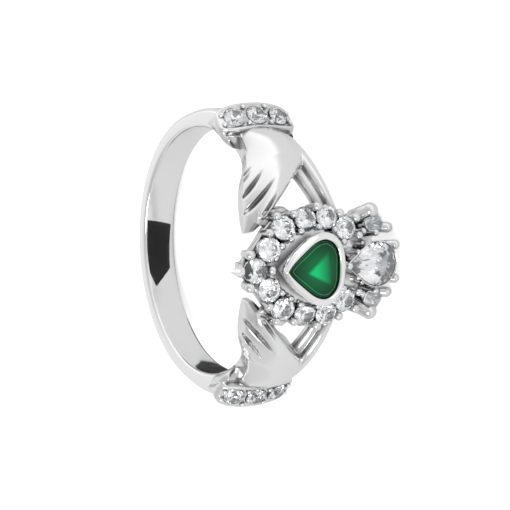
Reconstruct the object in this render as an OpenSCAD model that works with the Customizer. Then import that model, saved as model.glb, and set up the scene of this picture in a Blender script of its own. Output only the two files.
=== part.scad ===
// A ring with two hands holding a heart under a crown.
// The ring is modelled head up, with the finger along X, and is laid on its side at the end.

/* [Band] */
// inside diameter of the ring
bore_d = 17.3; // [16:0.1:19]
// width of the band
band_w = 2.5; // [2.2:0.1:3]
// thickness of the band
band_t = 1.1; // [0.95:0.05:1.4]
// rounding of the outer edges of the band
band_round = 0.34; // [0.2:0.02:0.45]
// rounding of the inner edges of the band
bore_round = 0.24; // [0.1:0.02:0.3]

/* [Cuffs] */
// angle of each cuff from the middle of the head
cuff_angle = 63; // [62:0.5:65]
// length of a cuff across the ring
cuff_len = 5.9; // [5.4:0.1:6.4]
// breadth of the stone-set face of a cuff
cuff_face = 2.2; // [2:0.05:2.5]
// height of the cuff's face above the inside of the ring
cuff_rise = 2.25; // [2.1:0.05:2.5]
// slope of the cuff's face, measured from the finger's side
cuff_slope = 42; // [38:1:48]
// diameter of a cuff stone
cuff_stone_d = 1.5; // [1.3:0.05:1.55]

/* [Hands] */
// height of the back of the hand above the inside of the ring
hand_rise = 2.55; // [2.3:0.05:2.8]
// thickness of a finger, across the hand
finger_d = 1.12; // [0.95:0.02:1.25]
// thickness of the thumb at its root
thumb_d = 1.15; // [0.95:0.05:1.3]

/* [Heart] */
// length of the heart stone from its point to its flat end
heart_len = 4.04; // [3.8:0.02:4.2]
// width of the heart stone
heart_w = 4; // [3.8:0.02:4.1]
// height of the heart stone's edge above the inside of the ring
heart_rise = 3.75; // [3.6:0.05:4]
// width of the rim around the heart stone
rim_w = 0.38; // [0.32:0.02:0.44]

/* [Halo] */
// diameter of a halo stone
halo_stone_d = 1.5; // [1.3:0.02:1.54]
// wall of a halo setting around its stone
halo_wall = 0.14; // [0.1:0.01:0.2]
// height of a halo setting
halo_cup_h = 1.45; // [1.2:0.05:1.55]
// thickness of a halo claw
claw_d = 0.52; // [0.4:0.02:0.6]
// width of the rail under the halo
rail_w = 1.5; // [1.3:0.05:1.7]

/* [Crown] */
// length of the drop-shaped crown stone
drop_len = 3.75; // [3.5:0.05:3.8]
// width of the drop-shaped crown stone
drop_w = 2.9; // [2.7:0.05:3]
// height of the drop-shaped stone's edge above the inside of the ring
drop_rise = 3.25; // [3.1:0.05:3.5]
// diameter of a side stone of the crown
side_stone_d = 1.5; // [1.3:0.02:1.6]
// thickness of a crown claw
crown_claw_d = 0.72; // [0.6:0.02:0.8]

/* [Seats] */
// gap between a stone and the metal around it
seat_gap = 0.04; // [0.02:0.01:0.06]

/* [Hidden] */
bore_r = bore_d / 2;
band_r = bore_r + band_t;
sink = 0.4;
// the points of cast surfaces lie on a grid of this size, which keeps needle-thin facets away
grain = 0.005;

// Halo stones, as shares of the heart: along, across, rise above the bore, lean outward, lean along.
halo_table = [
  ["along", "across", "rise", "lean_out", "lean_along"],
  [-0.829, 0, 2.60, 0, -12],
  [-0.569, 0.33, 2.55, 6, -8],
  [-0.285, 0.670, 2.40, 14, -4],
  [0.140, 0.793, 2.30, 16, 0],
  [0.547, 0.813, 2.30, 16, 2],
  [0.913, 0.605, 2.30, 9, 5]
];
// Half of the heart's outline: share along from the point, share of half the width.
heart_table = [
  ["along", "across"],
  [0, 0], [0.05, 0.135], [0.12, 0.28], [0.24, 0.49], [0.365, 0.69], [0.49, 0.87],
  [0.61, 0.975], [0.725, 1], [0.835, 0.915], [0.92, 0.75], [0.972, 0.54], [0.995, 0.28], [1, 0]
];
// Half of the drop's outline: share along from the point, share of half the width.
drop_table = [
  ["along", "across"],
  [0, 0], [0.07, 0.15], [0.16, 0.35], [0.28, 0.61], [0.42, 0.86], [0.58, 1],
  [0.74, 0.955], [0.88, 0.735], [0.97, 0.39], [1, 0]
];
// The hand from wrist to fingertips: angle from the head's middle, left edge, right edge,
// and the heights of left edge, back and right edge as shares of the hand's rise.
hand_table = [
  ["angle", "left", "right", "left_h", "top_h", "right_h"],
  [64, -1.15, 1.65, 0.50, 0.62, 0.50],
  [57, -1.25, 1.85, 0.52, 0.80, 0.55],
  [50, -1.35, 2.05, 0.46, 0.98, 0.68],
  [43, -1.75, 2.15, 0.44, 1.05, 0.80],
  [38, -2.20, 1.75, 0.43, 1.05, 0.88],
  [33, -2.55, 0.80, 0.42, 1.00, 0.92],
  [28, -2.80, -0.05, 0.41, 0.93, 0.86],
  [23, -2.93, -0.90, 0.39, 0.84, 0.74],
  [18, -2.97, -1.70, 0.36, 0.72, 0.56],
  [14, -2.90, -2.30, 0.18, 0.34, 0.28]
];
// The thumb: angle, place along the finger, height as a share of the hand's rise,
// thickness as a share of the root's.
thumb_table = [
  ["angle", "along", "height", "thick"],
  [56, 1.15, 0.55, 0.90],
  [50, 1.50, 0.68, 1.00],
  [43, 1.80, 0.78, 0.92],
  [38, 2.05, 0.82, 0.84],
  [33, 2.30, 0.84, 0.78],
  [28, 2.60, 0.84, 0.70],
  [23, 2.95, 0.80, 0.60],
  [18, 3.30, 0.76, 0.52],
  [15.5, 3.50, 0.72, 0.46]
];
// The lower finger under the thumb, with the same columns.
brace_table = [
  ["angle", "along", "height", "thick"],
  [42, 1.25, 0.55, 0.95],
  [36, 1.62, 0.57, 0.90],
  [30, 2.02, 0.58, 0.86],
  [24, 2.46, 0.56, 0.84],
  [17, 2.90, 0.50, 0.80]
];
// The four fingers, from knuckle to tip, three rows each: angle, place along, height share, thickness share.
finger_tables = [
  [["angle", "along", "height", "thick"],
    [33, 0.15, 0.84, 0.66], [28, -0.75, 0.87, 0.86], [23, -1.85, 0.79, 0.92],
    [17, -2.66, 0.56, 0.76], [15, -2.8, 0.38, 0.5]],
  [["angle", "along", "height", "thick"],
    [35, -0.70, 0.82, 0.66], [30.5, -1.45, 0.83, 0.86], [26.5, -2.15, 0.73, 0.90],
    [22, -2.72, 0.50, 0.74], [20, -2.85, 0.32, 0.5]],
  [["angle", "along", "height", "thick"],
    [39, -1.10, 0.80, 0.60], [35.5, -1.65, 0.78, 0.78], [32, -2.15, 0.68, 0.82],
    [28, -2.58, 0.47, 0.70], [26.5, -2.7, 0.30, 0.5]],
  [["angle", "along", "height", "thick"],
    [43, -1.30, 0.74, 0.56], [40, -1.65, 0.71, 0.72], [37, -2.0, 0.62, 0.74],
    [34, -2.32, 0.44, 0.64], [32.5, -2.42, 0.28, 0.5]]
];
// Halo claws: place along and across as shares of the heart, rise of the tip, outward slant, thickness share.
claw_table = [
  ["along", "across", "rise", "slant", "thick"],
  [-0.555, 0, 3.0, -0.1, 1.15],
  [-0.930, 0.265, 2.80, -0.45, 1.35],
  [-0.360, 0.375, 2.85, -0.05, 0.95],
  [-0.560, 0.600, 2.70, -0.45, 1.10],
  [-0.390, 0.860, 2.45, -0.35, 1.10],
  [0.010, 0.600, 2.75, -0.05, 0.95],
  [-0.090, 0.880, 2.62, -0.45, 1.15],
  [0.350, 0.655, 2.70, -0.05, 0.95],
  [0.345, 0.985, 2.62, -0.45, 1.25],
  [0.660, 0.600, 2.70, -0.05, 0.90],
  [0.770, 0.860, 2.66, -0.40, 1.15],
  [1.110, 0.760, 2.50, -0.40, 1.20],
  [1.130, 0.470, 2.75, -0.20, 1.10],
  [0.830, 0.385, 2.75, 0.00, 0.95]
];
// Half of the crown's floor, from the heart's end to the drop's: place along the finger and across.
floor_table = [
  ["along", "across"],
  [1.95, 2.0], [3.9, 2.9], [5.9, 2.85], [6.5, 1.7], [6.85, 0]
];
floor_t = 0.95;
// The web between fingertips and halo, with the same columns.
web_table = [
  ["along", "across"],
  [-2.75, 3.0], [-2.65, 3.7], [-0.55, 3.95], [0.25, 3.45], [-1.1, 2.3]
];
heart_pt = -1.78;
drop_pt = 3.35;
side_at = [6.4, 2.62, bore_r + 1.6];
side_lean = 14;
side_lean_along = 10;
foot_at = [7.4, 2.2, bore_r + 1.7];
// heights of the two large stones above and below their edges
heart_crown = 0.3;
heart_deep = 1.75;
drop_crown = 0.42;
drop_deep = 1.2;
// Crown claws: foot and tip as along, across and rise above the bore, thickness as a share of a crown claw's.
crown_claw_table = [
  ["foot_along", "foot_across", "foot_rise", "tip_along", "tip_across", "tip_rise", "thick"],
  [5.2, 2.9, 0.7, 6.05, 3.5, 1.72, 1.3],
  [6.3, 1.0, 1.6, 7.35, 1.14, 2.75, 0.92],
  [5.9, 1.75, 0.9, 6.15, 1.95, 2.25, 0.62],
  [5.0, 1.9, 0.9, 5.15, 2.1, 2.2, 0.62],
  [4.1, 0.75, 1.0, 4.2, 0.85, 3.1, 0.5]
];
foot_d = crown_claw_d;

// The ring lies on its side: on the two outer claws of the crown's end and on the back of the band.
edge_a = band_w / 2 - band_round;
edge_n = -(band_r - band_round);
span_a = foot_at[0] - edge_a;
span_n = foot_at[2] - edge_n;
lie_tilt = acos((band_round - foot_d / 2) / norm([span_a, span_n])) - atan2(span_n, span_a);
lie_z = edge_a * cos(lie_tilt) - edge_n * sin(lie_tilt) + band_round;
front_y = (bore_r + drop_rise + 0.34) * cos(lie_tilt) + (drop_pt + 0.824 * drop_len) * sin(lie_tilt);
back_y = edge_a * sin(lie_tilt) - edge_n * cos(lie_tilt) + band_round;
lie_y = (front_y - back_y) / 2;

stone_color = [0.9, 0.93, 0.95];
heart_color = [0.05, 0.5, 0.22];
metal_color = [0.8, 0.81, 0.83];

// A point on the ring from its place along the finger, its angle from the head's middle and its radius.
function around(a, ang, r) = [a, r * sin(ang), r * cos(ang)];

// Smooth value of a table's column at a row number that may lie between rows.
function row(t, i) = t[max(1, min(len(t) - 1, i))];
function between(t, q, col) =
  let (i = min(len(t) - 2, floor(q)), f = q - i,
       p0 = row(t, i - 1)[col], p1 = row(t, i)[col], p2 = row(t, i + 1)[col], p3 = row(t, i + 2)[col])
  0.5 * (2 * p1 + f * (p2 - p0) + f * f * (2 * p0 - 5 * p1 + 4 * p2 - p3)
    + f * f * f * (3 * p1 - p0 - 3 * p2 + p3));
// Linear value of a column where another column, falling down the table, has a given value.
function at_angle(t, ang, col) =
  let (n = len(t) - 1, k = max([for (i = [1:n - 1]) if (t[i][0] >= ang || i == 1) i]),
       f = max(0, min(1, (t[k][0] - ang) / (t[k][0] - t[k + 1][0]))))
  between(t, k + f, col);

// An outline from half a table, mirrored: the first point is the sharp one, on the axis.
function half_outline(t, l, w, m) =
  [for (i = [0:m]) let (q = 1 + (len(t) - 2) * i / m)
    [l * between(t, q, 0), i == 0 || i == m ? 0 : w / 2 * between(t, q, 1)]];
function outline(t, l, w, m) =
  let (h = half_outline(t, l, w, m))
  concat(h, [for (i = [m - 1:-1:1]) [h[i][0], -h[i][1]]]);
function unit(v) = v / norm(v);
// The outline grown outward by a distance, or shrunk toward its middle when the distance is negative.
function grown(p, d, c) =
  let (n = len(p))
  [for (i = [0:n - 1])
    let (a = p[(i + n - 1) % n], b = p[(i + 1) % n], u = unit(b - a), o = [-u[1], u[0]],
         miter = 1 / max(0.9, abs(unit(p[i] - a) * u)))
    d >= 0 ? p[i] + o * d * miter : p[i] + (p[i] - c) * d / norm(p[i] - c)];
function lift(p, z) = [for (q = p) [q[0], q[1], z]];

// A closed surface through rings of equal length, capped at both ends.
// Each ring runs clockwise about the way they go.
module loft(rings_given) {
  rings = [for (r = rings_given) [for (i = [len(r) - 1:-1:0]) r[i]]];
  m = len(rings[0]);
  k = len(rings);
  polyhedron(
    points = [for (r = rings) for (q = r) [for (v = q) round(v / grain) * grain]],
    faces = concat(
      [[for (j = [0:m - 1]) j]],
      [[for (j = [m - 1:-1:0]) (k - 1) * m + j]],
      [for (i = [0:k - 2]) for (j = [0:m - 1]) each [
        [i * m + j, (i + 1) * m + j, (i + 1) * m + (j + 1) % m],
        [i * m + j, (i + 1) * m + (j + 1) % m, i * m + (j + 1) % m]]]
    ),
    convexity = 8
  );
}

// A cut stone over an outline: table, two rows of crown facets, edge, and two rows below down to the point.
module cut_stone(p, c, up, down, table) {
  n = len(p);
  edge = 0.05;
  mid = [for (i = [0:n - 1]) (p[i] + p[(i + 1) % n]) / 2];
  crown = [for (q = mid) c + (q - c) * (0.5 + 0.5 * table)];
  top = [for (q = p) c + (q - c) * table];
  low = [for (q = mid) c + (q - c) * 0.5];
  pts = concat(lift(top, up), lift(crown, edge + (up - edge) * 0.56), lift(p, edge), lift(p, -edge),
    lift(low, -edge - (down - edge) * 0.52), [[c[0], c[1], -down]]);
  polyhedron(
    points = pts,
    faces = concat(
      [[for (j = [0:n - 1]) j]],
      [for (j = [0:n - 1]) let (k = (j + 1) % n, b = (j + n - 1) % n) each [
        [j, n + j, k], [j, n + b, n + j], [n + b, 2 * n + j, n + j], [2 * n + j, 2 * n + k, n + j],
        [2 * n + j, 3 * n + j, 3 * n + k], [2 * n + j, 3 * n + k, 2 * n + k],
        [3 * n + j, 4 * n + j, 3 * n + k], [3 * n + j, 4 * n + b, 4 * n + j],
        [4 * n + b, 5 * n, 4 * n + j]]]
    ),
    convexity = 4
  );
}

function circle_pts(d, n) = [for (i = [0:n - 1]) d / 2 * [cos(-360 * i / n), sin(-360 * i / n)]];
module round_stone(d) {
  cut_stone(circle_pts(d, 10), [0, 0], 0.17 * d, 0.44 * d, 0.56);
}

// The room for a round stone: its own shape with the seat gap, open above and closed below.
module round_seat(d) {
  r = d / 2 + seat_gap;
  t = d * 0.28 + seat_gap;
  edge = 0.05 + seat_gap;
  rotate_extrude($fn = 10)
    polygon([[0, -d * 0.46 - seat_gap], [r, -edge], [r, edge], [t, 0.17 * d + seat_gap], [t, d], [0, d]]);
}

// Puts something at a place with its top leaning outward and along the finger.
module placed(at, lean_out, lean_along) {
  translate(at) rotate([-lean_out, lean_along, 0]) children();
}

function halo_at(i) =
  [halo_table[i][0] * heart_len, halo_table[i][1] * heart_w, bore_r + halo_table[i][2]];
module at_halo(i, side) {
  placed([halo_at(i)[0], side * halo_at(i)[1], halo_at(i)[2]], side * halo_table[i][3], halo_table[i][4])
    children();
}
module at_side(side) {
  placed([side_at[0], side * side_at[1], side_at[2]], side * side_lean, side_lean_along) children();
}

heart_c = [0.58 * heart_len, 0];
heart_line = outline(heart_table, heart_len, heart_w, 14);
drop_c = [0.6 * drop_len, 0];
drop_line = outline(drop_table, drop_len, drop_w, 10);
module at_heart() {
  translate([heart_pt, 0, bore_r + heart_rise]) children();
}
module at_drop() {
  translate([drop_pt, 0, bore_r + drop_rise]) rotate([0, 1.5, 0]) children();
}

// The cuff's face: its middle line, its breadth at a share along it, and the two directions in it.
cuff_shift = 0.38;
// how far the underside of a cuff curves up from the inside of the ring at its ends
cuff_hull = 1.3;
function cuff_half(x) = cuff_face / 2 * (0.28 + 0.72 * sqrt(max(0, 1 - pow(abs(x), 2.6))));
function cuff_r(x) = bore_r + cuff_rise - 0.5 * x * x;
function cuff_point(x, off, out) =
  let (c = around(cuff_shift + x * cuff_len / 2, cuff_angle, cuff_r(x)))
  c + off * [0, cos(cuff_slope), -sin(cuff_slope)] + out * [0, sin(cuff_slope), cos(cuff_slope)];
function cuff_inner(x, off) =
  around(cuff_shift + 0.86 * x * cuff_len / 2, cuff_angle + off, bore_r - sink + cuff_hull * pow(abs(x), 3));

module cuff_body() {
  loft([for (i = [-6:6]) let (x = sin(i * 90 / 6), h = cuff_half(x), a = 6 + 5 * h)
    [cuff_inner(x, -a), cuff_point(x, -h * 0.98, -0.75), cuff_point(x, -h * 1.02, -0.12),
     cuff_point(x, -h * 0.92, 0.06), cuff_point(x, -h * 0.72, 0.04), cuff_point(x, 0, 0.02),
     cuff_point(x, h * 0.72, 0.02), cuff_point(x, h * 0.92, 0.04), cuff_point(x, h * 1.02, -0.14),
     cuff_point(x, h, -0.8), cuff_inner(x, a)]]);
}
module at_cuff(k) {
  x = (k - 1) * 0.57;
  p = cuff_point(x, 0, 0);
  translate(p) rotate([-cuff_slope, 16 * (k - 1), 0]) children();
}
module cuff_grains() {
  for (x = [-0.86, -0.285, 0.285, 0.86]) for (o = [-1, 1])
    translate(cuff_point(x, o * cuff_half(x) * (abs(x) > 0.5 ? 0.45 : 0.62), 0.02)) sphere(d = 0.42, $fn = 5);
}

function hand_height(ang, u) =
  let (l = at_angle(hand_table, ang, 3), m = at_angle(hand_table, ang, 4), r = at_angle(hand_table, ang, 5),
       side = l + (r - l) * u, bow = (m - (l + r) / 2) * pow(sin(180 * u), 0.75))
  bore_r + hand_rise * (side + bow);
module hand() {
  n = 8;
  loft([for (ang = [64:-50 / 12:13.9])
    let (l = at_angle(hand_table, ang, 1), r = at_angle(hand_table, ang, 2))
    concat(
      [around(l + 0.12, ang, bore_r - sink)],
      [for (i = [0:n]) let (u = 0.5 - 0.275 * cos(180 * i / n) - 0.225 * (1 - 2 * i / n))
        around(l + (r - l) * u, ang, hand_height(ang, u))],
      [around(r - 0.12, ang, bore_r - sink)])]);
}
// A round tapering finger along a table.
module digit(t, thick, m) {
  n = 8;
  last = len(t) - 1;
  loft([for (i = [0:m])
    let (q = 1 + (last - 1) * i / m, ang = between(t, q, 0), a = between(t, q, 1),
         r = bore_r + hand_rise * between(t, q, 2), d = thick / 2 * between(t, q, 3))
    [for (j = [n - 1:-1:0]) around(a + d * cos(360 * j / n), ang, r + 0.95 * d * sin(360 * j / n))]]);
}

// A claw from its foot to its rounded tip, as rings about its own axis: distance along and radius as a share.
module claw(foot, tip, d) {
  n = 6;
  v = tip - foot;
  l = norm(v);
  e = v / l;
  f = unit(cross(e, [0.3, 1, 0.2]));
  g = cross(e, f);
  loft([for (s = [[-0.3 * d, 0.38], [l, 0.52], [l + 0.3 * d, 0.41], [l + 0.5 * d, 0.15]])
    [for (j = [n - 1:-1:0]) foot + e * s[0] + d * s[1] * (f * cos(360 * j / n) + g * sin(360 * j / n))]]);
}
module halo_claws() {
  for (i = [1:len(claw_table) - 1]) {
    c = claw_table[i];
    a = c[0] * heart_len;
    t = c[1] * heart_w;
    d = claw_d * c[4];
    z = bore_r + c[2];
    o = unit([a - 0.6, t]);
    claw([a + c[3] * o[0] * 0.5, t + c[3] * o[1] * 0.5, z - 1.35], [a, t, z - d / 2 + 0.1], d);
  }
}
module halo_cup() {
  translate([0, 0, -halo_cup_h])
    cylinder(h = halo_cup_h + 0.1, r1 = halo_stone_d * 0.42, r2 = halo_stone_d / 2 + halo_wall, $fn = 10);
}
// The rail under the halo, from one setting to the next and on to the crown: a strip, narrower below.
module rail() {
  z = bore_r + 0.5;
  drop = [[drop_pt + drop_len * 0.66, -0.3, z + 0.15]];
  p = concat([[halo_at(1)[0], -0.4, z + 0.1]],
    [for (i = [1:6]) [halo_at(i)[0] * 0.97, halo_at(i)[1] * 0.96, z + 0.12 * (6 - i) / 6]],
    [[side_at[0] - 0.4, side_at[1] - 0.1, z]], drop);
  m = len(p) - 1;
  loft([for (i = [0:m])
    let (e = unit(p[min(m, i + 1)] - p[max(0, i - 1)]), o = [-e[1], e[0], 0] * rail_w / 2, up = [0, 0, 1.1])
    [p[i] - o * 0.7, p[i] - o + up, p[i] + o + up, p[i] + o * 0.7]]);
}
// The rim that holds the heart, before its inside is cut.
module heart_rim() {
  w = rim_w;
  at_heart() loft([for (s = [[-0.2, -2.3], [-0.1, -1.3], [w * 0.5, -0.6], [w * 0.95, -0.15], [w * 0.95, 0.1],
    [w * 0.76, 0.26], [w * 0.4, 0.34], [-0.04, 0.31]]) lift(grown(heart_line, s[0], heart_c), s[1])]);
}
// The room for the heart: open below, stepped at its edge, narrowed by the lip above it and open on top.
module heart_seat() {
  g = seat_gap;
  at_heart() loft([for (s = [[-0.5, -3.5], [-0.5, -1.15], [-0.17, -0.38 - g], [g, -0.05 - g], [g, 0.06 + g],
    [-0.1, 0.14 + g], [-0.1, 0.23 + g], [0.02, 0.4], [0.02, 1]])
    lift(grown(heart_line, s[0], heart_c), s[1])]);
}
// The shelf that joins the heart's rim to the halo settings.
module heart_shelf() {
  at_heart() loft([for (z = [-2.38, -1.3]) lift(grown(heart_line, 0.75, heart_c), z)]);
}
// The floor that joins the heart's end, the last settings and the crown: half of its outline, mirrored.
module crown_floor() {
  z = bore_r + 0.55;
  h = floor_table;
  n = len(h) - 1;
  p = concat([for (i = [1:n]) [h[i][0], h[i][1]]], [for (i = [n - 1:-1:1]) [h[i][0], -h[i][1]]]);
  loft([lift(p, z), lift(p, z + floor_t)]);
}
// The web between the fingertips and the halo.
module web() {
  z = bore_r + 0.45;
  p = [for (i = [1:len(web_table) - 1]) [web_table[i][0], web_table[i][1]]];
  loft([lift(p, z), lift(p, z + 1)]);
}
// The pointed end under the heart's point.
module heel_point() {
  c = halo_at(1);
  loft([for (s = [[-0.2, -0.75, 0.55, 0.6], [-0.8, -0.6, 0.46, 0.5], [-1.2, -0.42, 0.3, 0.3],
    [-1.55, -0.3, 0.12, 0.11],
    [-1.7, -0.27, 0.03, 0.03]])
    [for (j = [0:7]) [c[0] + s[0], s[2] * cos(45 * j), c[2] + s[1] + s[3] * sin(45 * j)]]]);
}
module drop_cup() {
  at_drop() loft([for (s = [[-0.62, -2.1], [-0.4, -1.2], [0.06, -0.25], [0.14, 0.02]])
    lift(grown(drop_line, s[0], drop_c), s[1])]);
}
module drop_seat() {
  g = seat_gap;
  at_drop() loft([for (s = [[-0.95, -2.6], [-0.95, -1.2], [g, -0.05 - g], [g, 0.05 + g],
    [-0.42, 0.48 + g], [-0.42, 2]])
    lift(grown(drop_line, s[0], drop_c), s[1])]);
}
module side_cup() {
  translate([0, 0, -1.35])
    cylinder(h = 1.45, r1 = side_stone_d * 0.42, r2 = side_stone_d / 2 + 0.13, $fn = 10);
}
module crown_half() {
  at_side(1) side_cup();
  claw([6.35, 2.2, bore_r + 0.85], foot_at, foot_d);
  for (i = [1:len(crown_claw_table) - 1]) let (c = crown_claw_table[i])
    claw([c[0], c[1], bore_r + c[2]], [c[3], c[4], bore_r + c[5]], crown_claw_d * c[6]);
}
module shank() {
  half = 180 - cuff_angle;
  o = band_round;
  i = bore_round;
  w = band_w / 2;
  rotate([0, 90, 0]) rotate([0, 0, -half]) rotate_extrude(angle = 2 * half) {
    translate([bore_r, i - w]) square([band_t - o, band_w - 2 * i]);
    translate([bore_r + i, -w]) square([band_t - o - i, band_w]);
    translate([band_r - o - 0.05, o - w]) square([o + 0.05, band_w - 2 * o]);
    for (s = [-1, 1]) {
      translate([bore_r + i, s * (w - i)]) circle(r = i, $fn = 48);
      translate([band_r - o, s * (w - o)]) circle(r = o, $fn = 48);
    }
  }
}
module casting_half() {
  cuff_body();
  cuff_grains();
  hand();
  digit(thumb_table, thumb_d, 10);
  digit(brace_table, thumb_d, 6);
  for (t = finger_tables) digit(t, finger_d, 7);
  for (i = [2:6]) at_halo(i, 1) halo_cup();
  halo_claws();
  rail();
  web();
  crown_half();
}
module head_casting() {
  difference() {
    union() {
      casting_half();
      mirror([0, 1, 0]) casting_half();
      at_halo(1, 1) halo_cup();
      heel_point();
      heart_rim();
      heart_shelf();
      crown_floor();
      drop_cup();
      claw([drop_pt + 0.2, 0, bore_r + 1.6], [drop_pt - 0.02, 0, bore_r + drop_rise + 0.1], 0.5);
    }
    heart_seat();
    drop_seat();
    for (s = [-1, 1]) {
      for (i = [2:6]) at_halo(i, s) round_seat(halo_stone_d);
      at_side(s) round_seat(side_stone_d);
    }
    at_halo(1, 1) round_seat(halo_stone_d);
    for (k = [0:2]) {
      at_cuff(k) round_seat(cuff_stone_d);
      mirror([0, 1, 0]) at_cuff(k) round_seat(cuff_stone_d);
    }
  }
}
module laid_down() {
  translate([0, lie_y, lie_z]) rotate([-lie_tilt, 0, 0])
    multmatrix([[0, 1, 0, 0], [0, 0, -1, 0], [-1, 0, 0, 0], [0, 0, 0, 1]]) children();
}

module silver_ring() {
  color(metal_color) laid_down() difference() {
    union() {
      shank();
      resize([0, 0, 0]) head_casting();
    }
    rotate([0, 90, 0]) cylinder(h = 4 * bore_r, r = bore_r, center = true, $fn = 160);
  }
}
module heart_stone() {
  color(heart_color) laid_down() at_heart() cut_stone(heart_line, heart_c, heart_crown, heart_deep, 0.84);
}
module crown_drop_stone() {
  color(stone_color) laid_down() at_drop() cut_stone(drop_line, drop_c, drop_crown, drop_deep, 0.56);
}
module side_stone(side) {
  color(stone_color) laid_down() at_side(side) round_stone(side_stone_d);
}
module halo_stone(i, side) {
  color(stone_color) laid_down() at_halo(i, side) round_stone(halo_stone_d);
}
module cuff_stone(k, side) {
  color(stone_color) laid_down() scale([1, side, 1]) at_cuff(k) round_stone(cuff_stone_d);
}
module crown_left_stone() { side_stone(-1); }
module crown_right_stone() { side_stone(1); }
module halo_point_stone() { halo_stone(1, 1); }
module halo_left_stone_1() { halo_stone(2, -1); }
module halo_left_stone_2() { halo_stone(3, -1); }
module halo_left_stone_3() { halo_stone(4, -1); }
module halo_left_stone_4() { halo_stone(5, -1); }
module halo_left_stone_5() { halo_stone(6, -1); }
module halo_right_stone_1() { halo_stone(2, 1); }
module halo_right_stone_2() { halo_stone(3, 1); }
module halo_right_stone_3() { halo_stone(4, 1); }
module halo_right_stone_4() { halo_stone(5, 1); }
module halo_right_stone_5() { halo_stone(6, 1); }
module cuff_left_stone_1() { cuff_stone(0, -1); }
module cuff_left_stone_2() { cuff_stone(1, -1); }
module cuff_left_stone_3() { cuff_stone(2, -1); }
module cuff_right_stone_1() { cuff_stone(0, 1); }
module cuff_right_stone_2() { cuff_stone(1, 1); }
module cuff_right_stone_3() { cuff_stone(2, 1); }

silver_ring();
heart_stone();
crown_drop_stone();
crown_left_stone();
crown_right_stone();
halo_point_stone();
halo_left_stone_1();
halo_left_stone_2();
halo_left_stone_3();
halo_left_stone_4();
halo_left_stone_5();
halo_right_stone_1();
halo_right_stone_2();
halo_right_stone_3();
halo_right_stone_4();
halo_right_stone_5();
cuff_left_stone_1();
cuff_left_stone_2();
cuff_left_stone_3();
cuff_right_stone_1();
cuff_right_stone_2();
cuff_right_stone_3();
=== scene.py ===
import math

import bmesh
import bpy
import numpy as np
from mathutils import Matrix, Vector


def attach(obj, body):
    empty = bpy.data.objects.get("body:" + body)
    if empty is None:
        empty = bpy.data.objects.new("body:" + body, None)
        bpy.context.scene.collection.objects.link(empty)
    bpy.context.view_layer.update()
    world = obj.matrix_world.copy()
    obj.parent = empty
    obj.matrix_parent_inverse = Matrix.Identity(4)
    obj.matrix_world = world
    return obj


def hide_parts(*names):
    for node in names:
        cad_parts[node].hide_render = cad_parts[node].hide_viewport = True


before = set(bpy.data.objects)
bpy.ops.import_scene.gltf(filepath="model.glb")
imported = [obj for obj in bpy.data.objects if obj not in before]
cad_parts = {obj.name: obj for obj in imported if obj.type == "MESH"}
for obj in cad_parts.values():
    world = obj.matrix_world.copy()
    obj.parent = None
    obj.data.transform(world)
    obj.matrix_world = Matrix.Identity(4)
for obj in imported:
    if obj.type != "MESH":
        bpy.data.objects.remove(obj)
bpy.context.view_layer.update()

# Sizes in millimetres, as in the part's source. The ring is built head up and laid on its side last:
# first axis along the finger, second from the lower hand to the upper one, third out through the heart.
MM = 0.001
BORE_R = 8.65
BAND_W, BAND_T, BAND_ROUND, BORE_ROUND, SHOULDER = 2.5, 1.1, 0.34, 0.24, 0.36
CUFF_ANGLE, CUFF_LEN, CUFF_FACE, CUFF_RISE, CUFF_SLOPE = 63, 5.9, 2.2, 2.25, 42
CUFF_SHIFT, CUFF_HULL, CUFF_STONE_STEP, CUFF_STONE_LEAN = 0.38, 1.3, 0.57, 16
HAND_RISE, THUMB_D = 2.55, 1.15
HEART_LEN, HEART_W, HEART_RISE, RIM_W, HEART_PT = 4.04, 4.0, 3.75, 0.44, -1.78
HALO_CUP_H, CLAW_D, RAIL_W = 1.45, 0.52, 1.5
DROP_LEN, DROP_W, DROP_RISE, DROP_PT = 3.75, 2.9, 3.25, 3.35
ROUND_STONE_D, CROWN_CLAW_D = 1.5, 0.72
WIDE_STONE_D = ROUND_STONE_D + 0.1
SIDE_AT, SIDE_LEAN, SIDE_LEAN_ALONG = (6.4, 2.62, BORE_R + 1.6), 14, 10
FOOT_AT = (7.4, 2.2, BORE_R + 1.7)
# Size of the cells in which the shells of a cast piece run into one skin.
HAND_CELL, CUFF_CELL = 0.045, 0.046

# Halo stones as shares of the heart: along, across, rise above the bore, lean outward, lean along.
HALO = [
    (-0.829, 0, 2.60, 0, -12),
    (-0.569, 0.33, 2.55, 6, -8),
    (-0.285, 0.670, 2.40, 14, -4),
    (0.140, 0.793, 2.30, 16, 0),
    (0.547, 0.813, 2.30, 16, 2),
    (0.913, 0.605, 2.30, 9, 5),
]
# Half outlines: share along from the point, share of half the width.
HEART_HALF = [
    (0, 0), (0.05, 0.135), (0.12, 0.28), (0.24, 0.49), (0.365, 0.69), (0.49, 0.87), (0.61, 0.975),
    (0.725, 1), (0.835, 0.915), (0.92, 0.75), (0.972, 0.54), (0.995, 0.28), (1, 0),
]
DROP_HALF = [
    (0, 0), (0.07, 0.15), (0.16, 0.35), (0.28, 0.61), (0.42, 0.86), (0.58, 1), (0.74, 0.955),
    (0.88, 0.735), (0.97, 0.39), (1, 0),
]
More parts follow.
